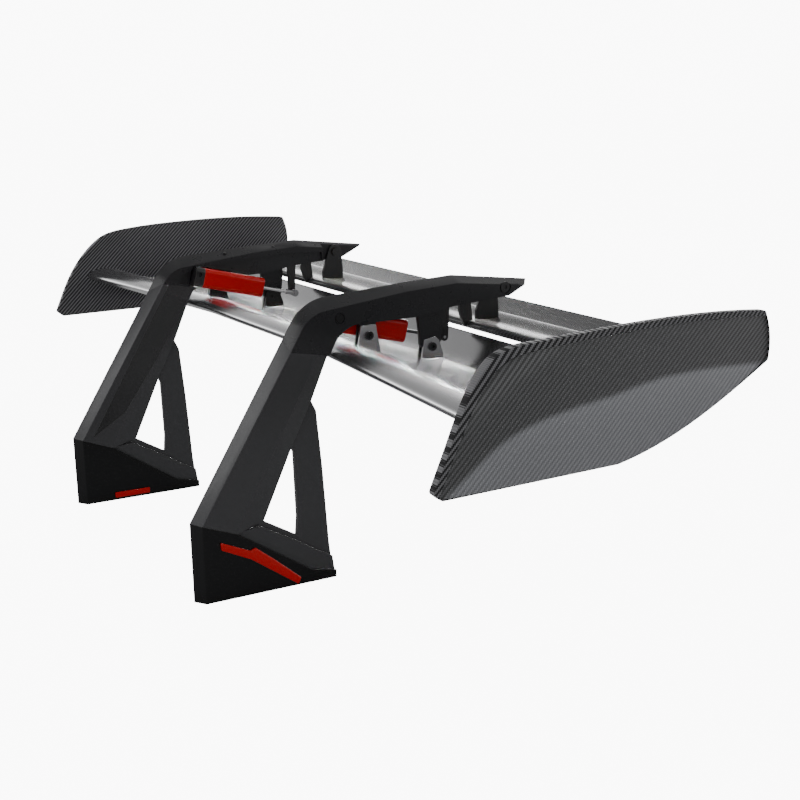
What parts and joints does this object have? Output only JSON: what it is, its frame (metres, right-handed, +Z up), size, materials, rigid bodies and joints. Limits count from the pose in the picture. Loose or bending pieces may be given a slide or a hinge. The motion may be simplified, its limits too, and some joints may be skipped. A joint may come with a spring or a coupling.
{
  "type": "adjustable rear wing",
  "caption": "Race car rear wing hung from swan-neck uprights, with end plates and a rear flap that hydraulic actuators raise and lower through bell cranks.",
  "frame": {"origin": "centre of the body bolt pattern, in the plane of the undersides of the feet", "axes": "+X along the span towards the left-hand end plate, -Y forward, +Z up"},
  "size_m": [1.8, 0.8061, 0.55],
  "materials": {
    "main_plane_lacquer": "silver satin lacquer over a moulded composite skin",
    "flap_carbon": "lacquered woven carbon fibre",
    "plate_carbon": "lacquered woven carbon fibre with a beaded rim",
    "skin_carbon": "lacquered coarse woven carbon fibre",
    "inlay_carbon": "satin carbon fibre cover",
    "satin_black": "satin black powder coat on machined aluminium",
    "arm_black": "semi-gloss black powder coat on machined aluminium",
    "gloss_black": "gloss black paint",
    "red_paint": "gloss red paint",
    "clear_anodised": "clear anodised aluminium plate",
    "black_anodised": "satin black anodised aluminium",
    "black_steel": "blackened steel fasteners",
    "bare_steel": "bare ground steel",
    "rod_steel": "hard chromed ground rod",
    "bush_bronze": "plain bearing bronze"
  },
  "bodies": {
    "structure": {"actuator_pins": "black_steel", "arm_screws": "black_steel", "bracket_bolts": "black_steel", "crank_pins": "bare_steel", "end_plate_screws": "black_steel", "foot_bolts": "bare_steel", "hinge_pins": "black_steel", "left_actuator_barrel": "red_paint", "left_actuator_cap": "black_anodised", "left_actuator_gland": "black_anodised", "left_end_plate": "plate_carbon", "left_end_plate_skin": "skin_carbon", "left_foot": "gloss_black", "left_foot_strips": "red_paint", "left_front_inner_cheek": "black_anodised", "left_front_outer_cheek": "clear_anodised", "left_mid_inner_cheek": "black_anodised", "left_mid_outer_cheek": "clear_anodised", "left_neck": "satin_black", "left_neck_cover": "inlay_carbon", "left_rear_brace": "satin_black", "left_swan_arm": "arm_black", "main_plane": "main_plane_lacquer", "neck_screws": "black_steel", "right_actuator_barrel": "red_paint", "right_actuator_cap": "black_anodised", "right_actuator_gland": "black_anodised", "right_end_plate": "plate_carbon", "right_end_plate_skin": "skin_carbon", "right_foot": "gloss_black", "right_foot_strips": "red_paint", "right_front_inner_cheek": "black_anodised", "right_front_outer_cheek": "clear_anodised", "right_mid_inner_cheek": "black_anodised", "right_mid_outer_cheek": "clear_anodised", "right_neck": "satin_black", "right_neck_cover": "inlay_carbon", "right_rear_brace": "satin_black", "right_swan_arm": "arm_black", "tail_bolts": "black_steel"},
    "flap_assembly": {"flap": "flap_carbon", "left_hinge_bracket": "black_anodised", "right_hinge_bracket": "black_anodised", "left_drive_lug": "black_anodised", "right_drive_lug": "black_anodised", "drive_pins": "bare_steel", "hinge_bushes": "bush_bronze"},
    "left_crank": {"left_bell_crank": "black_anodised", "left_crank_bush": "bush_bronze", "left_tip_pin": "bare_steel"},
    "left_rod": {"left_actuator_rod": "rod_steel", "left_rod_end": "bare_steel", "left_piston": "bare_steel"},
    "right_crank": {"right_bell_crank": "black_anodised", "right_crank_bush": "bush_bronze", "right_tip_pin": "bare_steel"},
    "right_rod": {"right_actuator_rod": "rod_steel", "right_rod_end": "bare_steel", "right_piston": "bare_steel"}
  },
  "joints": [
    {"name": "flap_pivot", "type": "hinge", "parent": "structure", "child": "flap_assembly", "pos_m": [0, 0.547, 0.518], "axis": [1, 0, 0], "range_deg": [0, 28]},
    {"name": "left_crank_turn", "type": "hinge", "parent": "structure", "child": "left_crank", "pos_m": [0.326, 0.436, 0.506], "axis": [1, 0, 0], "range_deg": [-27, 0]},
    {"name": "right_crank_turn", "type": "hinge", "parent": "structure", "child": "right_crank", "pos_m": [-0.326, 0.436, 0.506], "axis": [1, 0, 0], "range_deg": [-27, 0]},
    {"name": "left_rod_slide", "type": "slide", "parent": "structure", "child": "left_rod", "axis": [0, 0.9736, -0.2284], "range_m": [-0.036, 0]},
    {"name": "right_rod_slide", "type": "slide", "parent": "structure", "child": "right_rod", "axis": [0, 0.9736, -0.2284], "range_m": [-0.036, 0]}
  ],
  "couplings": [
    {"joint": "left_crank_turn", "follows": "flap_pivot", "ratio": -0.958},
    {"joint": "right_crank_turn", "follows": "flap_pivot", "ratio": -0.958},
    {"joint": "left_rod_slide", "follows": "flap_pivot", "m_per_rad": -0.07214},
    {"joint": "right_rod_slide", "follows": "flap_pivot", "m_per_rad": -0.07214}
  ]
}
